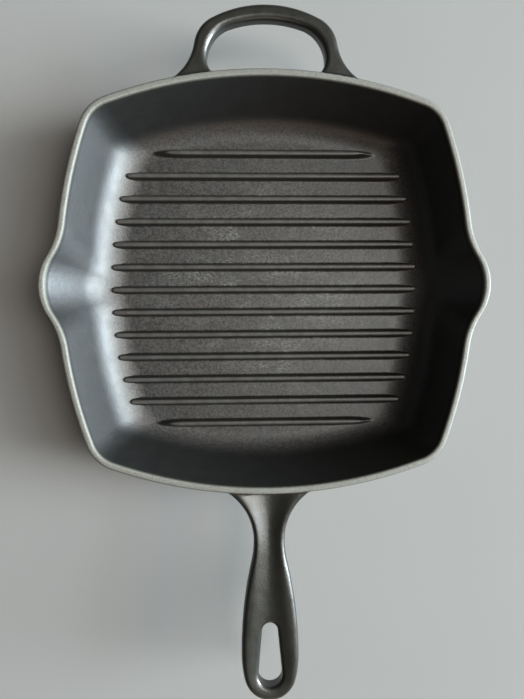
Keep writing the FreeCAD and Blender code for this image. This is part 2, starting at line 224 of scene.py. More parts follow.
def quarter_arcs(side_inset, end_inset, corner, spout):
    """The +X +Y quarter as {name: (centre, radius, first angle, last angle)}, tip to end wall."""
    tip_radius = SPOUT_TIP_RADIUS - RIM_THICKNESS / 2
    blend_radius = SPOUT_BLEND_RADIUS + RIM_THICKNESS / 2
    side_radius = SIDE_RADIUS - side_inset
    end_radius = END_RADIUS - end_inset
    tip = (HALF_WIDTH - side_inset + spout - tip_radius, 0.0)
    blend = crossing(SIDE_CENTRE, side_radius + blend_radius, tip, tip_radius + blend_radius)
    bend = crossing(SIDE_CENTRE, side_radius - corner, END_CENTRE, end_radius - corner)
    tip_turn = bearing(tip, blend)
    side_start = bearing(SIDE_CENTRE, blend)
    side_end = bearing(SIDE_CENTRE, bend)
    end_start = bearing(END_CENTRE, bend)
    side_cut = SPOUT_HALF_ANGLE
    end_cut = math.pi / 2 - END_WALL_HALF_ANGLE
    return {
        "tip": (tip, tip_radius, 0.0, tip_turn),
        "blend": (blend, blend_radius, tip_turn + math.pi, side_start + math.pi),
        "side_near": (SIDE_CENTRE, side_radius, side_start, side_cut),
        "side_far": (SIDE_CENTRE, side_radius, side_cut, side_end),
        "corner": (bend, corner, side_end, end_start),
        "end_near": (END_CENTRE, end_radius, end_start, end_cut),
        "end_far": (END_CENTRE, end_radius, end_cut, math.pi / 2),
    }


RIM_ARCS = quarter_arcs(0.0, 0.0, CORNER_RADIUS, SPOUT_PROJECTION)
STRIPS = {
    "spout": ["tip", "blend", "side_near"],
    "corner": ["side_far", "corner", "end_near"],
    "end": ["end_far"],
}


def joined(*runs):
    """Runs of points end to end, each one's first point dropped where it repeats the last."""
    return np.concatenate([runs[0]] + [run[1:] for run in runs[1:]])


def strip(kind, level):
    """Points (n, 2) of one run of the +X +Y quarter at a level; see level_at()."""
    arcs = quarter_arcs(*level[:-1])
    runs = []
    for name in STRIPS[kind]:
        centre, radius, first, last = arcs[name]
        _, rim_radius, rim_first, rim_last = RIM_ARCS[name]
        steps = max(3, round(rim_radius * abs(rim_last - rim_first) / COLUMN))
        angles = np.linspace(first, last, steps + 1)
        x = centre[0] + radius * np.cos(angles)
        y = centre[1] + radius * np.sin(angles)
        runs.append(np.stack([x, y], 1))
    return joined(*runs)


def outline_run(region, level):
    """Points (n, 2) of a region's part of the outline at a level."""
    flip_x = np.array([-1.0, 1.0])
    flip_y = np.array([1.0, -1.0])
    if region.startswith("pour_spout"):
        half = strip("spout", level)
        run = joined((half * flip_y)[::-1], half)
        return run * flip_x if region.endswith("left") else run
    if region.startswith("wall"):
        half = strip("end", level)
        run = joined(half, (half * flip_x)[::-1])
        return run * flip_y if region.endswith("front") else run
    if region.startswith("corner"):
        run = strip("corner", level)
        run = run * flip_y if "front" in region else run
        return run * flip_x if region.endswith("left") else run
    quarter = joined(strip("spout", level), strip("corner", level), strip("end", level))
    back = (quarter * flip_x)[::-1]
    ring = joined(quarter, back, quarter * flip_x * flip_y, (quarter * flip_y)[::-1])
    return ring[:-1]


# ---------------------------------------------------------------- wall profile

OUTER_EDGE = -RIM_OUTER_FILLET * (1 / math.cos(DRAFT) + math.tan(DRAFT) - 1)


def level_at(rim_inset, bottom, insets, z):
    """Outline on a wall's face as (side inset, end inset, corner radius, spout projection, z)."""
    share = (RIM_HEIGHT - z) / (RIM_HEIGHT - bottom)
    corner = CORNER_RADIUS - rim_inset
    corner += (FLOOR_CORNER_RADIUS - corner) * share
    spout = SPOUT_PROJECTION + (SPOUT_FADE - SPOUT_PROJECTION) * share
    return (*insets, corner, spout, z)


def face_inset(rim_inset, bottom, fillet, z):
    """Inset of a wall's face at a height: a rounding up from the bottom, then the draft."""
    if z > bottom + fillet * (1 - math.sin(DRAFT)):
        return rim_inset + (RIM_HEIGHT - z) * math.tan(DRAFT)
    centre = rim_inset + (RIM_HEIGHT - bottom - fillet) * math.tan(DRAFT) + fillet / math.cos(DRAFT)
    return centre - math.sqrt(fillet ** 2 - (fillet - z + bottom) ** 2)


def face_levels(rim_inset, bottom, fillets, heights):
    """Levels up a wall's face, its side and end walls each with their own foot rounding."""
    levels = []
    for z in heights:
        insets = [face_inset(rim_inset, bottom, fillet, z) for fillet in fillets]
        levels.append(level_at(rim_inset, bottom, insets, z))
    return levels


def foot_heights(bottom, fillet):
    """Heights up the rounding between floor and wall, floor end first."""
    angles = [0.0, SEAM_ANGLE] + list(np.linspace(0, math.pi / 2 - DRAFT, FOOT_STEPS + 1)[1:])
    return [bottom + fillet * (1 - math.cos(a)) for a in angles]


def rim_levels(edge_inset, bottom, fillet, inwards):
    """Levels round one edge of the rim's top, wall end first."""
    sweep = math.pi / 2 + inwards * DRAFT
    centre = edge_inset + inwards * fillet * math.tan(sweep / 2)
    angles = np.linspace(sweep, 0, RIM_STEPS + 1)
    return [level_at(edge_inset, bottom, [centre - inwards * fillet * math.sin(a)] * 2,
                     RIM_HEIGHT - fillet * (1 - math.cos(a))) for a in angles]


BAND_BOTTOM = RIM_HEIGHT - RIM_BAND_HEIGHT


def wall_heights(bottom, fillet):
    """Heights up a wall's face, from its foot to the bottom of the rim band."""
    foot = foot_heights(bottom, fillet)
    return foot + list(np.linspace(foot[-1], BAND_BOTTOM, WALL_STEPS + 1)[1:])


INSIDE = face_levels(RIM_THICKNESS, FLOOR_THICKNESS, (SIDE_FILLET, END_FILLET),
                     wall_heights(FLOOR_THICKNESS, SIDE_FILLET))
OUTSIDE = face_levels(OUTER_EDGE, 0.0, (OUTER_FILLET, OUTER_FILLET), wall_heights(0.0, OUTER_FILLET))
FLOOR_LEVEL = INSIDE[0]


def wall_section():
    """Closed loop of levels round a wall region: up inside, down outside, under and back."""
    return INSIDE + OUTSIDE[::-1] + [FLOOR_LEVEL[:-1] + (0.0,)]


def rim_section():
    """Closed loop of levels round the rim band: up outside, over the top, down inside."""
    outside = rim_levels(OUTER_EDGE, 0.0, RIM_OUTER_FILLET, 1)
    inside = rim_levels(RIM_THICKNESS, FLOOR_THICKNESS, RIM_INNER_FILLET, -1)
    return OUTSIDE[-1:] + outside + inside[::-1] + INSIDE[-1:]


# ---------------------------------------------------------------- mesh helpers

def add_piece(name, vertices, faces, crease=CREASE):
    """Mesh object from millimetre vertices: closed, faces outwards, smooth except at creases."""
    mesh = bpy.data.meshes.new(name)
    mesh.from_pydata([tuple(v) for v in np.asarray(vertices) * MM], [], [tuple(f) for f in faces])
    work = bmesh.new()
    work.from_mesh(mesh)
    bmesh.ops.remove_doubles(work, verts=work.verts, dist=WELD)
    bmesh.ops.recalc_face_normals(work, faces=work.faces)
    for face in work.faces:
        face.smooth = True
    work.to_mesh(mesh)
    work.free()
    mesh.set_sharp_from_angle(angle=crease)
    piece = bpy.data.objects.new(name, mesh)
    bpy.context.collection.objects.link(piece)
    return piece


def sweep_points(region, section):
    """Grid (levels, columns, 3) of a region swept through the section's levels."""
    rows = []
    for level in section:
        run = outline_run(region, level)
        rows.append(np.column_stack([run, np.full(len(run), level[-1])]))
    return np.array(rows)


def grid_faces(rows, columns, wrap_rows, wrap_columns):
    """Quads of a grid of points numbered row by row."""
    faces = []
    for i in range(rows if wrap_rows else rows - 1):
        for j in range(columns if wrap_columns else columns - 1):
            i2 = (i + 1) % rows
            j2 = (j + 1) % columns
            faces.append((i * columns + j, i * columns + j2, i2 * columns + j2, i2 * columns + j))
    return faces


def swept_piece(name, region, section, ring):
    """Region swept round a closed section, capped at both ends unless it is a ring."""
    grid = sweep_points(region, section)
    rows, columns = grid.shape[:2]
    faces = grid_faces(rows, columns, True, ring)
    if not ring:
        faces.append(tuple(i * columns for i in range(rows)))
        faces.append(tuple(i * columns + columns - 1 for i in reversed(range(rows))))
    return add_piece(name, grid.reshape(-1, 3), faces)


def floor_piece():
    """Slab inside the walls, its top and bottom gridded in rings round a centre point."""
    ring = outline_run("ring", FLOOR_LEVEL)
    count = len(ring)
    rows = []
    for z, shares in ((FLOOR_THICKNESS, np.linspace(1, FLOOR_RINGS, FLOOR_RINGS) / FLOOR_RINGS),
                      (0.0, np.linspace(FLOOR_RINGS, 1, FLOOR_RINGS) / FLOOR_RINGS)):
        for share in shares:
            rows.append(np.column_stack([ring * share, np.full(count, z)]))
    vertices = list(np.concatenate(rows))
    faces = grid_faces(len(rows), count, False, True)
    for z, row in ((FLOOR_THICKNESS, 0), (0.0, len(rows) - 1)):
        centre = len(vertices)
        vertices.append(np.array([0.0, 0.0, z]))
        faces += [(centre, row * count + j, row * count + (j + 1) % count) for j in range(count)]
    return add_piece("pan_floor_enamel", vertices, faces)


# ---------------------------------------------------------------- ribs

def inner_surface():
    """Ray-casting tree of the pan's inside, which the ribs' ends run into."""
    grid = sweep_points("ring", INSIDE)
    rows, columns = grid.shape[:2]
    vertices = list(grid.reshape(-1, 3)) + [np.array([0.0, 0.0, FLOOR_THICKNESS])]
    faces = grid_faces(rows, columns, False, True)
    faces += [(len(vertices) - 1, j, (j + 1) % columns) for j in range(columns)]
    return BVHTree.FromPolygons([tuple(v) for v in vertices], faces)


def rib_section():
    """Half profile as (distance from the spine, height over the floor), crown to foot."""
    flat = np.linspace(0, RIB_CROWN_HALF_WIDTH, RIB_CROWN_POINTS)
    turn = np.linspace(0, RIB_FLANK, RIB_ROUND_POINTS)[1:]
    foot = np.linspace(RIB_FLANK, 0, RIB_ROUND_POINTS)
    shoulder = RIB_HEIGHT - RIB_CROWN_DOME
    crown_d = np.concatenate([flat, RIB_CROWN_HALF_WIDTH + RIB_CROWN_RADIUS * np.sin(turn)])
    crown_h = np.concatenate([RIB_HEIGHT - RIB_CROWN_DOME * (flat / RIB_CROWN_HALF_WIDTH) ** 2,
                              shoulder - RIB_CROWN_RADIUS * (1 - np.cos(turn))])
    foot_h = RIB_FOOT_RADIUS * (1 - np.cos(foot))
    flank_run = (crown_h[-1] - foot_h[0]) / math.tan(RIB_FLANK)
    foot_end = crown_d[-1] + flank_run + RIB_FOOT_RADIUS * math.sin(RIB_FLANK)
    foot_d = foot_end - RIB_FOOT_RADIUS * np.sin(foot)
    between = np.linspace(0, 1, RIB_FLANK_POINTS)[1:-1]
    flank_d = crown_d[-1] + (foot_d[0] - crown_d[-1]) * between
    flank_h = crown_h[-1] + (foot_h[0] - crown_h[-1]) * between
    return np.concatenate([crown_d, flank_d, foot_d]), np.concatenate([crown_h, flank_h, foot_h])


def rib_over_ground(top, rise):
    """Height of a rib over the pan's inside, which rises under the rib's ends and hides them.
    The fade is no wider than the rise, so the rib's foot on the level floor stays sharp."""
    blend = RIB_BLEND * np.clip(rise / RIB_BLEND, LEAST_SHARE, 1)
    over = top - rise
    soft = (over + blend) ** 2 / (4 * blend)
    height = np.where(over > blend, over, np.where(over > -blend, soft, 0))
    return height - RIB_SINK * (over < -blend)


def rib_piece(number, surface):
    """Rib counted from the middle one: contour rings round its spine, level along its length."""
    outermost = abs(number) == len(RIB_HALF_LENGTHS) - 1
    stretch = OUTER_RIB_NOSE_STRETCH if outermost else RIB_NOSE_STRETCH
    distance, height = rib_section()
    spine = RIB_HALF_LENGTHS[abs(number)] + RIB_OVERRUN - stretch * distance[-1]
    straight = np.linspace(-spine, spine, RIB_LENGTH_POINTS)
    turn = np.linspace(math.pi / 2, -math.pi / 2, RIB_NOSE_POINTS)[1:-1]
    nose_x = np.cos(turn) * stretch
    nose_y = np.sin(turn)
    end = np.full(len(turn), spine)
    spine_x = np.concatenate([straight, end, straight[::-1], -end])
    out_x = np.concatenate([straight * 0, nose_x, straight * 0, -nose_x])
    out_y = np.concatenate([straight * 0 + 1, nose_y, straight * 0 - 1, -nose_y])
    down = Vector((0, 0, -1))
    rows = []
    for d, h in zip(distance, height):
        x = spine_x + out_x * d
        y = out_y * d + RIB_PITCH * number
        starts = [Vector((a, b, RIM_HEIGHT)) for a, b in zip(x, y)]
        ground = np.array([surface.ray_cast(start, down)[0].z for start in starts])
        rows.append(np.column_stack([x, y, ground + rib_over_ground(h, ground - FLOOR_THICKNESS)]))
    sunk = rows[-1] - np.array([0, 0, RIB_SINK])
    inner = rows[0].copy()
    inner[:, 2] = FLOOR_THICKNESS - RIB_SINK
    vertices = np.concatenate(rows + [sunk, inner])
    faces = grid_faces(len(rows) + 2, len(spine_x), False, True)
    name = "grill_rib_%02d" % (number + len(RIB_HALF_LENGTHS))
    piece = add_piece(name + "_enamel", vertices, faces)
    return piece, name


# ---------------------------------------------------------------- handles as distance fields

def arc_chain(start, heading, bends, body_side):
    """Tangent arcs as (centre, radius, middle angle, half sweep, sign); sign is +1 where convex."""
    arcs = []
    x, y = start
    for radius, turn in bends:
        side = math.copysign(1.0, turn)
        to_centre = math.radians(heading + side * 90)
        cx = x + radius * math.cos(to_centre)
        cy = y + radius * math.sin(to_centre)
        middle = to_centre + math.pi + math.radians(turn) / 2
        arcs.append(((cx, cy), radius, middle, abs(math.radians(turn)) / 2, side * body_side))
        last = to_centre + math.pi + math.radians(turn)
        x = cx + radius * math.cos(last)
        y = cy + radius * math.sin(last)
        heading += turn
    return arcs, (x, y), heading


def chain_distance(x, y, arcs):
    """Signed plan distance to the nearest of the arcs, negative on the body's side."""
    best = np.full(x.shape, np.inf)
    signed = np.full(x.shape, np.inf)
    for (cx, cy), radius, middle, half, sign in arcs:
        dx = x - cx
        dy = y - cy
        offset = np.arctan2(dy, dx) - middle
        offset = (offset + math.pi) % (2 * math.pi) - math.pi
        angle = middle + np.clip(offset, -half, half)
        gap = np.hypot(x - cx - radius * np.cos(angle), y - cy - radius * np.sin(angle))
        nearer = gap < best
        best = np.where(nearer, gap, best)
        signed = np.where(nearer, np.sign(np.hypot(dx, dy) - radius) * sign * gap, signed)
    return signed


def rounded_meet(a, b, radius):
    """Distance to where two solids overlap, the edge between them rounded."""
    outside = np.hypot(np.maximum(a + radius, 0), np.maximum(b + radius, 0))
    return np.minimum(np.maximum(a, b) + radius, 0) + outside - radius


def slab(plan, z, top, thickness, top_fillet, under_fillet):
    """Distance to a plate over a plan outline, its top edge and its lower edge rounded."""
    middle = (top - thickness + under_fillet + top - top_fillet) / 2
    above = rounded_meet(plan, z - top, top_fillet)
    below = rounded_meet(plan, top * 0 - thickness - z, under_fillet)
    return np.where(z > middle, above, below)


def smooth_curve(x, stations, values):
    """Smooth curve through a few stations, flat beyond the ends."""
    xs = np.array(stations)
    ys = np.array(values)
    slopes = np.gradient(ys, xs)
    slopes[0] = slopes[-1] = 0.0
    x = np.clip(x, xs[0], xs[-1])
    i = np.clip(np.searchsorted(xs, x) - 1, 0, len(xs) - 2)
    span = xs[i + 1] - xs[i]
    t = (x - xs[i]) / span
    h00 = (1 + 2 * t) * (1 - t) ** 2
    h10 = t * (1 - t) ** 2
    h01 = t ** 2 * (3 - 2 * t)
    h11 = t ** 2 * (t - 1)
    return h00 * ys[i] + h10 * span * slopes[i] + h01 * ys[i + 1] + h11 * span * slopes[i + 1]


def pan_distance(x, y, z, end):
    """Distances to the pan's outside near the middle of its front (-1) or back (+1) wall:
    to its whole skin, and to the drafted face alone."""
    radial = np.hypot(x, y + end * (END_RADIUS - HALF_LENGTH))
    sweep = math.pi / 2 + DRAFT
    centre_inset = OUTER_EDGE + RIM_OUTER_FILLET * math.tan(sweep / 2)
    dr = radial - (END_RADIUS - centre_inset)
    dz = z - (RIM_HEIGHT - RIM_OUTER_FILLET)
    bearing_up = np.arctan2(dz, dr)
    side = dr * math.cos(DRAFT) - dz * math.sin(DRAFT)
    rounding = np.hypot(dr, dz)
    wedge = (bearing_up > -DRAFT) & (bearing_up < math.pi / 2)
    skin = np.where(wedge, rounding, np.maximum(side, dz)) - RIM_OUTER_FILLET
    return skin, side - RIM_OUTER_FILLET


def blend_width(z):
    """Width of the cast fillet at a height, growing smoothly from the rim down."""
    share = np.clip((BLEND_TOP_HEIGHT - z) / (BLEND_TOP_HEIGHT - BLEND_UNDER_HEIGHT), 0, 1)
    share = share * share * (3 - 2 * share)
    return BLEND_TOP + (BLEND_UNDER - BLEND_TOP) * share


def blended(handle, wall, face, z):
    """Handle run into the wall with a cast fillet, kept to the handle's own neighbourhood."""
    width = blend_width(z)
    near = np.maximum(width - np.abs(handle - wall), 0) / width
    union = np.minimum(handle, wall) - near * near * width / 4
    return np.maximum(np.maximum(union, -EMBED - face), handle - BLEND_REACH * width)


def root_shift(z, reach, free):
    """How far a handle's plan moves towards the pan below the rim, to follow the drafted wall:
    in full at the wall, fading to nothing at the distance free."""
    share = np.clip((free - reach) / (free - HALF_LENGTH), 0, 1)
    return np.maximum(RIM_HEIGHT - z, 0) * math.tan(DRAFT) * share


def long_handle_field():
    """Signed distance to the long handle: scooped slab, hanging slot and blend into the wall."""
    neck = (NECK_HALF_WIDTH, -NECK_DISTANCE)
    bends = [(ROOT_FLARE_RADIUS, -ROOT_FLARE_TURN), (EXTEND_RADIUS, EXTEND_TURN)]
    flare = arc_chain(neck, 90, bends, 1)[0]
    bends = [(NECK_RADIUS, NECK_TURN), (GRIP_RADIUS, -NECK_TURN), (TAIL_RADIUS, -TAIL_TURN),
             (SHOULDER_RADIUS, -SHOULDER_TURN)]
    grip, end, heading = arc_chain(neck, -90, bends, -1)
    tip_radius = end[0] / math.cos(math.radians(TAIL_TURN + SHOULDER_TURN))
    tip = arc_chain(end, heading, [(tip_radius, -180 - heading)], -1)[0]
    outline = flare + grip + tip
    spread = HANG_FAR_DISTANCE - HANG_NEAR_DISTANCE
    lean = (HANG_FAR_RADIUS - HANG_NEAR_RADIUS) / spread
    cosine = math.sqrt(1 - lean * lean)

    def field(x, y, z):
        wall, face = pan_distance(x, y, z, -1)
        dy = y + HALF_LENGTH
        dz = z - (RIM_HEIGHT - HANDLE_DROP)
        along = dy * math.cos(HANDLE_SLOPE) - dz * math.sin(HANDLE_SLOPE) - HALF_LENGTH
        up = dy * math.sin(HANDLE_SLOPE) + dz * math.cos(HANDLE_SLOPE)
        across = np.abs(x)
        reach = -along
        plan = chain_distance(across, along - root_shift(z, reach, NECK_DISTANCE), outline)
        plan = np.maximum(plan, across - ROOT_LIMIT)
        half_width = smooth_curve(reach, SCOOP_STATIONS, SCOOP_HALF_WIDTHS)
        depth = smooth_curve(reach, SCOOP_STATIONS, SCOOP_DEPTHS)
        hollow = np.maximum(1 - (across / half_width) ** 2, 0) ** 2
        top = -depth * hollow
        body = slab(plan, up, top, HANDLE_THICKNESS, HANDLE_TOP_FILLET, HANDLE_UNDER_FILLET)
        # teardrop slot: two circles and their common tangents
        from_near = reach - HANG_NEAR_DISTANCE
        slot_side = across * cosine - from_near * lean - HANG_NEAR_RADIUS
        near_end = np.hypot(across, from_near) - HANG_NEAR_RADIUS
        far_end = np.hypot(across, from_near - spread) - HANG_FAR_RADIUS
        position = from_near * cosine + across * lean
        slot = np.where(position < 0, near_end, np.where(position > spread * cosine, far_end, slot_side))
        body = rounded_meet(body, -slot, HANG_FILLET)
        return blended(body, wall, face, z)

    return field


def helper_handle_field():
    """Signed distance to the loop handle: level slab, finger opening and blend into the wall."""
    bends = [(LOOP_TOP_RADIUS, -LOOP_TOP_TURN), (LOOP_SHOULDER_RADIUS, -LOOP_SHOULDER_TURN),
             (LOOP_FLARE_RADIUS, LOOP_FLARE_TURN), (EXTEND_RADIUS, EXTEND_TURN)]
    outer = arc_chain((0.0, LOOP_REACH), 0, bends, -1)[0]
    bends = [(FINGER_TOP_RADIUS, -FINGER_TOP_TURN), (FINGER_SHOULDER_RADIUS, FINGER_TOP_TURN - 90),
             (FINGER_FOOT_RADIUS, -FINGER_FOOT_TURN), (EXTEND_RADIUS, -FINGER_EXTEND_TURN)]
    finger = arc_chain((0.0, LOOP_REACH - LOOP_BAR), 0, bends, -1)[0]

    def field(x, y, z):
        wall, face = pan_distance(x, y, z, 1)
        across = np.abs(x)
        shifted = y + root_shift(z, y, LOOP_REACH - LOOP_BAR)
        plan = chain_distance(across, shifted, outer)
        plan = np.maximum(plan, -chain_distance(across, shifted, finger))
        plan = np.maximum(plan, across - LOOP_LIMIT)
        up = z - (RIM_HEIGHT - HANDLE_DROP)
        body = slab(plan, up, np.zeros_like(up), LOOP_THICKNESS, LOOP_FILLET, LOOP_FILLET)
        return blended(body, wall, face, z)

    return field


def fill_pinches(values):
    """Fills one corner of each grid square whose inside corners meet only across its diagonal."""
    for axis in range(3):
        layers = np.moveaxis(values, axis, 0)
        a, b = layers[:, :-1, :-1], layers[:, 1:, :-1]
        d, c = layers[:, :-1, 1:], layers[:, 1:, 1:]
        b[(a < 0) & (c < 0) & (b >= 0) & (d >= 0)] = -PINCH_DEPTH
        a[(b < 0) & (d < 0) & (a >= 0) & (c >= 0)] = -PINCH_DEPTH


def surface_net(field, low, high):
    """Quads (vertices, faces) round the part of a box where field(x, y, z) is below zero."""
    axes = [np.arange(a, b + CELL, CELL) for a, b in zip(low, high)]
    x, y, z = np.meshgrid(*axes, indexing="ij")
    values = field(x, y, z)
    for _ in range(PINCH_ROUNDS):
        fill_pinches(values)
    shape = np.array(values.shape) - 1
    total = np.zeros((*shape, 3))
    hits = np.zeros(shape)
    corners = [(i, j, k) for i in (0, 1) for j in (0, 1) for k in (0, 1)]

    def corner(c):
        return values[c[0]:c[0] + shape[0], c[1]:c[1] + shape[1], c[2]:c[2] + shape[2]]

    for axis in range(3):
        for start in corners:
            if start[axis]:
                continue
            stop = list(start)
            stop[axis] = 1
            a = corner(start)
            b = corner(stop)
            cut = (a < 0) != (b < 0)
            t = np.where(cut, a / np.where(cut, a - b, 1.0), 0.0)
            for other in range(3):
                total[..., other] += np.where(cut, t if other == axis else start[other], 0.0)
            hits += cut
    active = hits > 0
    index = np.full(shape, -1)
    index[active] = np.arange(active.sum())
    base = np.argwhere(active)
    vertices = (base + total[active] / hits[active][:, None]) * CELL + np.array(low)
    faces = []
    inside = values < 0
    for axis in range(3):
        u = (axis + 1) % 3
        v = (axis + 2) % 3
        ahead = np.roll(inside, -1, axis)
        edge = inside != ahead
        for spot in np.argwhere(edge):
            on_rim = not (0 < spot[u] < shape[u]) or not (0 < spot[v] < shape[v])
            if on_rim or spot[axis] >= shape[axis]:
                continue
            cells = []
            for du, dv in ((-1, -1), (0, -1), (0, 0), (-1, 0)):
                at = spot.copy()
                at[u] += du
                at[v] += dv
                cells.append(index[tuple(at)])
            faces.append(cells)
    return vertices, faces


def settle(vertices, field):
    """Vertices moved onto the field's zero surface, along its slope."""
    step = SETTLE_STEP
    for _ in range(SETTLE_ROUNDS):
        x, y, z = vertices.T
        value = field(x, y, z)
        slope = np.stack([field(x + step, y, z) - field(x - step, y, z),
                          field(x, y + step, z) - field(x, y - step, z),
                          field(x, y, z + step) - field(x, y, z - step)], 1) / (2 * step)
        size = np.maximum((slope ** 2).sum(1), LEAST_SLOPE)
        move = np.clip(value / size, -CELL / 2, CELL / 2)
        vertices = vertices - slope * move[:, None]
    return vertices


def field_piece(name, field, box):
    """Closed piece round the part of a box where a field is below zero."""
    vertices, faces = surface_net(field, *box)
    return add_piece(name, settle(vertices, field), faces, HANDLE_CREASE)


# ---------------------------------------------------------------- materials

class Nodes:
    """Short-hand for building one material's node tree."""

    def __init__(self, name):
        self.material = bpy.data.materials.new(name)
        self.material.use_nodes = True
        self.tree = self.material.node_tree
        self.shader = self.tree.nodes["Principled BSDF"]
        self.place = self.tree.nodes.new("ShaderNodeTexCoord").outputs["Object"]

    def feed(self, socket, value):
        if isinstance(value, bpy.types.NodeSocket):
            self.tree.links.new(value, socket)
        else:
            socket.default_value = value

    def noise(self, scale, detail, roughness=0.5, distortion=0.0, place=None):
        node = self.tree.nodes.new("ShaderNodeTexNoise")
        self.feed(node.inputs["Vector"], place or self.place)
        node.inputs["Scale"].default_value = scale
        node.inputs["Detail"].default_value = detail
        node.inputs["Roughness"].default_value = roughness
        node.inputs["Distortion"].default_value = distortion
        return node.outputs["Fac"]

    def remap(self, value, low, high, to_low=0.0, to_high=1.0):
        node = self.tree.nodes.new("ShaderNodeMapRange")
        node.interpolation_type = "SMOOTHSTEP"
        self.feed(node.inputs["Value"], value)
        node.inputs["From Min"].default_value = low
        node.inputs["From Max"].default_value = high
        node.inputs["To Min"].default_value = to_low
        node.inputs["To Max"].default_value = to_high
        return node.outputs["Result"]

    def times(self, a, b):
        node = self.tree.nodes.new("ShaderNodeMath")
        node.operation = "MULTIPLY"
        self.feed(node.inputs[0], a)
        self.feed(node.inputs[1], b)
        return node.outputs[0]

    def mix(self, share, a, b):
        node = self.tree.nodes.new("ShaderNodeMix")
        node.data_type = "RGBA"
        self.feed(node.inputs["Factor"], share)
        self.feed(node.inputs["A"], a)
        self.feed(node.inputs["B"], b)
        return node.outputs["Result"]

    def stretched(self, scale):
        node = self.tree.nodes.new("ShaderNodeMapping")
        self.feed(node.inputs["Vector"], self.place)
        node.inputs["Scale"].default_value = scale
        return node.outputs["Vector"]

    def above(self, heights, to_low=0.0, to_high=1.0):
        """Goes from to_low to to_high between two heights over the underside."""
        node = self.tree.nodes.new("ShaderNodeSeparateXYZ")
        self.feed(node.inputs["Vector"], self.place)
        return self.remap(node.outputs["Z"], heights[0] * MM, heights[1] * MM, to_low, to_high)

    def drifting(self, roughness, scale):
        """Roughness that drifts from place to place, from (middle, drift)."""
        middle, drift = roughness
        return self.remap(self.noise(scale, 3.0), 0.3, 0.7, middle - drift, middle + drift)

    def bump(self, height, strength, distance, below=None):
        node = self.tree.nodes.new("ShaderNodeBump")
        node.inputs["Strength"].default_value = strength
        node.inputs["Distance"].default_value = distance
        self.feed(node.inputs["Height"], height)
        if below is not None:
            self.feed(node.inputs["Normal"], below)
        return node.outputs["Normal"]

    def finish(self, colour, roughness, normal, specular):
        self.feed(self.shader.inputs["Base Color"], colour)
        self.feed(self.shader.inputs["Roughness"], roughness)
        self.feed(self.shader.inputs["Normal"], normal)
        self.shader.inputs["Specular IOR Level"].default_value = specular
        return self.material


def rgb(red, green, blue):
    return (red, green, blue, 1.0)


# Colours, each pair the two ends of a mottling
BLACK = rgb(0.0, 0.0, 0.0)
SOUND_COAT = (rgb(0.005, 0.005, 0.005), rgb(0.008, 0.0078, 0.0076))
PALE_SPECK = rgb(0.05, 0.048, 0.045)
WORN_COAT = (rgb(0.016, 0.0112, 0.0100), rgb(0.027, 0.0190, 0.0168))
SCRUBBED_MIDDLE = rgb(0.043, 0.032, 0.028)
COOL_PATCH = rgb(0.015, 0.023, 0.026)
PALE_GRAIN = rgb(0.36, 0.32, 0.29)
RESIDUE = rgb(0.19, 0.19, 0.175)
# Partly the flanks' sound enamel, partly painted shade of the steep flanks
RIB_FLANK_COAT_AND_SHADE = rgb(0.006, 0.0052, 0.0048)
RIB_CROWN_COAT = rgb(0.066, 0.060, 0.054)
GROUND_RIM = (rgb(0.165, 0.162, 0.142), rgb(0.28, 0.275, 0.244))
RIM_PIT = rgb(0.09, 0.088, 0.076)
# Painted shade on the rim crest's rounded edges
RIM_EDGE_SHADE = rgb(0.09, 0.087, 0.072)
RIM_OUTER_COAT = rgb(0.016, 0.016, 0.014)
HANDLE_COAT = (rgb(0.015, 0.0146, 0.0118), rgb(0.023, 0.0222, 0.018))
PAPER = (rgb(0.305, 0.297, 0.290), rgb(0.325, 0.317, 0.310))
ROOM_COLOUR = rgb(1.0, 0.90, 0.80)


def pebbles(nodes, strength):
    """Fine orange-peel of matt enamel over sand-cast iron."""
    coarse = nodes.bump(nodes.noise(260.0, 2.0, 0.5), strength * 0.5, 0.0006)
    return nodes.bump(nodes.noise(800.0, 3.0, 0.65), strength, 0.0003, coarse)


def black_enamel(nodes):
    """Colour of the coat where it is sound: near black, with the odd pale speck."""
    tint = nodes.mix(nodes.noise(40.0, 3.0), *SOUND_COAT)
    speck = nodes.remap(nodes.noise(1400.0, 1.0), 0.70, 0.80)
    return nodes.mix(speck, tint, PALE_SPECK)


def worn_enamel(nodes):
    """Colour of the cooking surface: dark and cloudy, scrubbed grey in the middle, with
    a fine pale grain and smeared residue."""
    reach = nodes.tree.nodes.new("ShaderNodeVectorMath")
    reach.operation = "LENGTH"
    nodes.feed(reach.inputs[0], nodes.stretched((10.0, 10.0, 0.0)))
    middle = nodes.remap(reach.outputs["Value"], 0.35, 1.05, 1.0, 0.0)
    base = nodes.mix(nodes.noise(55.0, 4.0, 0.6), *WORN_COAT)
    base = nodes.mix(nodes.times(middle, 0.7), base, SCRUBBED_MIDDLE)
    cool = nodes.remap(nodes.noise(34.0, 3.0, 0.5, 0.4), 0.50, 0.70, 0.0, 0.5)
    base = nodes.mix(cool, base, COOL_PATCH)
    grain = nodes.remap(nodes.noise(750.0, 3.0, 0.8), 0.38, 0.62)
    dark_grain = nodes.mix(0.8, base, BLACK)
    pale_grain = nodes.mix(0.10, base, PALE_GRAIN)
    base = nodes.mix(grain, dark_grain, pale_grain)
    cloud_noise = nodes.noise(70.0, 5.0, 0.65, 0.6, nodes.stretched((0.45, 1.0, 1.0)))
    cloud = nodes.remap(cloud_noise, 0.44, 0.66)
    streak_noise = nodes.noise(900.0, 3.0, 0.7, 0.2, nodes.stretched((0.5, 1.0, 1.0)))
    streak = nodes.remap(streak_noise, 0.46, 0.62)
    residue = nodes.times(nodes.times(cloud, streak), middle)
    return nodes.mix(nodes.times(residue, 0.75), base, RESIDUE)


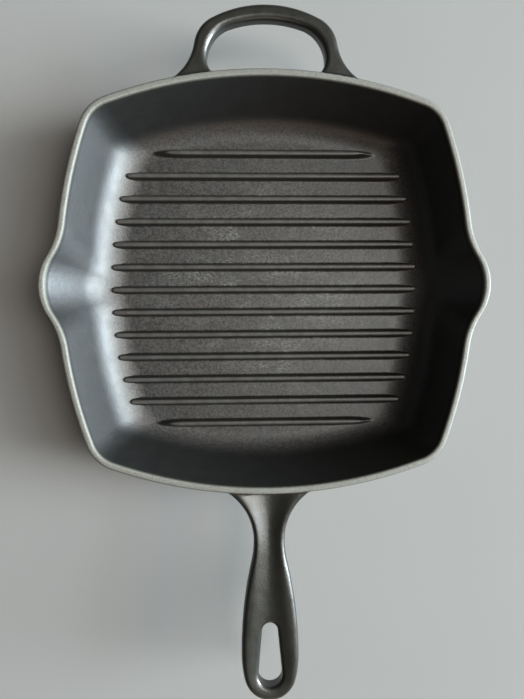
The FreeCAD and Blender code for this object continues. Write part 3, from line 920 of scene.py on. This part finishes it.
def wall_enamel():
    """Sound enamel that gives way to the worn floor round the foot of the wall."""
    nodes = Nodes("black_enamel")
    worn = nodes.above(WORN_FOOT, 1.0, 0.0)
    colour = nodes.mix(worn, black_enamel(nodes), worn_enamel(nodes))
    roughness = nodes.drifting(ENAMEL_ROUGHNESS, 120.0)
    return nodes.finish(colour, roughness, pebbles(nodes, 0.3), 1.0)


def floor_enamel():
    """Worn floor; the ribs' flanks darker, partly sound dark enamel and partly painted shade; scrubbed
    crowns.
    """
    nodes = Nodes("worn_enamel")
    # Dark flanks: partly sound enamel, partly painted shade where the ribs rise from the floor
    colour = nodes.mix(nodes.above(RIB_FLANK_START), worn_enamel(nodes), RIB_FLANK_COAT_AND_SHADE)
    patchy = nodes.remap(nodes.noise(150.0, 4.0, 0.6), 0.30, 0.70, 0.55, 1.0)
    scrubbed = nodes.times(nodes.above(RIB_CROWN_START), patchy)
    colour = nodes.mix(scrubbed, colour, RIB_CROWN_COAT)
    roughness = nodes.drifting(ENAMEL_ROUGHNESS, 120.0)
    return nodes.finish(colour, roughness, pebbles(nodes, 0.3), 1.0)


def rim_enamel():
    """Bare ground crest, pale and speckled; painted shade darkens its rounded edges, and dark enamel
    covers the band below them.
    """
    nodes = Nodes("ground_rim")
    colour = nodes.mix(nodes.noise(700.0, 3.0, 0.7), *GROUND_RIM)
    dark = nodes.remap(nodes.noise(1500.0, 2.0), 0.54, 0.66)
    colour = nodes.mix(nodes.times(dark, 0.6), colour, RIM_PIT)
    # Painted shade: the crest's rounded edges are darkened by height to stand in for their shading
    colour = nodes.mix(nodes.above(RIM_SHADED_EDGE), RIM_EDGE_SHADE, colour)
    colour = nodes.mix(nodes.above(RIM_OUTER_EDGE), RIM_OUTER_COAT, colour)
    return nodes.finish(colour, RIM_ROUGHNESS, pebbles(nodes, 0.5), 0.55)


def handle_enamel():
    """Smoother, glossier coat of both handles."""
    nodes = Nodes("satin_enamel")
    tint = nodes.mix(nodes.noise(60.0, 3.0), *HANDLE_COAT)
    roughness = nodes.drifting(HANDLE_ROUGHNESS, 150.0)
    return nodes.finish(tint, roughness, pebbles(nodes, 0.3), 1.0)


def stage_paper():
    """Plain pale floor under the object."""
    nodes = Nodes("pale_floor")
    tint = nodes.mix(nodes.noise(6.0, 2.0), *PAPER)
    tooth = nodes.bump(nodes.noise(500.0, 3.0), 0.1, 0.0005)
    return nodes.finish(tint, PAPER_ROUGHNESS, tooth, 0.2)


# ---------------------------------------------------------------- assembly

def place(piece, node, slot, material):
    """Gives a piece its finish, hangs it under the root body and hides the CAD node it stands for."""
    piece.data.materials.clear()
    piece.data.materials.append(material)
    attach(piece, "root")
    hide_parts(node)


def build_pan():
    wall_finish = wall_enamel()
    floor_finish = floor_enamel()
    section = wall_section()
    regions = ["wall_front", "wall_back", "pour_spout_left", "pour_spout_right"]
    regions += ["corner_%s_%s" % (end, side) for end in ("front", "back") for side in ("left", "right")]
    for region in regions:
        piece = swept_piece(region + "_enamel", region, section, False)
        place(piece, region, "wall_enamel", wall_finish)
    rim = swept_piece("rim_band_ground", "ring", rim_section(), True)
    place(rim, "rim_band", "rim_enamel", rim_enamel())
    place(floor_piece(), "pan_floor", "floor_enamel", floor_finish)
    surface = inner_surface()
    last = len(RIB_HALF_LENGTHS) - 1
    for number in range(-last, last + 1):
        piece, node = rib_piece(number, surface)
        place(piece, node, "floor_enamel", floor_finish)


def build_handles():
    finish = handle_enamel()
    piece = field_piece("long_handle_enamel", long_handle_field(), LONG_HANDLE_BOX)
    place(piece, "long_handle", "handle_enamel", finish)
    piece = field_piece("helper_handle_enamel", helper_handle_field(), HELPER_HANDLE_BOX)
    place(piece, "helper_handle", "handle_enamel", finish)


def area_light(name, azimuth, elevation, size, energy, colour):
    """Rectangular light facing the object; azimuth is from +X towards +Y."""
    light = bpy.data.lights.new(name, "AREA")
    light.shape = "RECTANGLE"
    light.size, light.size_y = size
    light.energy = energy
    light.color = colour
    lamp = bpy.data.objects.new(name, light)
    lamp.location = (LIGHT_DISTANCE * math.cos(elevation) * math.cos(azimuth),
                     LIGHT_DISTANCE * math.cos(elevation) * math.sin(azimuth),
                     LIGHT_DISTANCE * math.sin(elevation))
    lamp.rotation_euler = (-lamp.location).to_track_quat("-Z", "Y").to_euler()
    bpy.context.collection.objects.link(lamp)


def build_stage():
    corners = [(-STAGE_HALF, -STAGE_HALF, 0), (STAGE_HALF, -STAGE_HALF, 0),
               (STAGE_HALF, STAGE_HALF, 0), (-STAGE_HALF, STAGE_HALF, 0)]
    mesh = bpy.data.meshes.new("stage_floor")
    mesh.from_pydata(corners, [], [(0, 1, 2, 3)])
    mesh.materials.append(stage_paper())
    floor = bpy.data.objects.new("stage_floor", mesh)
    bpy.context.collection.objects.link(floor)

    world = bpy.data.worlds.new("room")
    world.use_nodes = True
    background = world.node_tree.nodes["Background"]
    background.inputs["Color"].default_value = ROOM_COLOUR
    background.inputs["Strength"].default_value = ROOM_STRENGTH
    bpy.context.scene.world = world
    for name, azimuth, elevation, size, energy, colour in LIGHTS:
        area_light(name, math.radians(azimuth), math.radians(elevation), size, energy, colour)


def build_camera():
    turn_x = Matrix.Rotation(CAMERA_TURN_X, 3, "X")
    turn_y = Matrix.Rotation(CAMERA_TURN_Y, 3, "Y")
    turn_z = Matrix.Rotation(CAMERA_TURN_Z, 3, "Z")
    world_to_camera = turn_z @ turn_y @ turn_x
    data = bpy.data.cameras.new("view")
    data.lens = CAMERA_LENS
    data.sensor_width = CAMERA_SENSOR
    data.clip_start = CAMERA_CLIP
    camera = bpy.data.objects.new("view", data)
    camera.matrix_world = Matrix.Translation(CAMERA_PLACE) @ world_to_camera.transposed().to_4x4()
    bpy.context.collection.objects.link(camera)
    bpy.context.scene.camera = camera


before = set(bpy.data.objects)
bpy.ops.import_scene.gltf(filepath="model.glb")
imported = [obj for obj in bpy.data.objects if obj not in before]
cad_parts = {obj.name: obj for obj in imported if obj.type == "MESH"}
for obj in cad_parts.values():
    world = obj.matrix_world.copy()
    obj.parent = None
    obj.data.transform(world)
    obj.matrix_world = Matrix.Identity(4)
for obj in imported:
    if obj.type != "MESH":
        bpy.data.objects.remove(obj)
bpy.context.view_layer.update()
build_pan()
build_handles()
build_stage()
build_camera()
bpy.context.scene.view_settings.view_transform = "Standard"
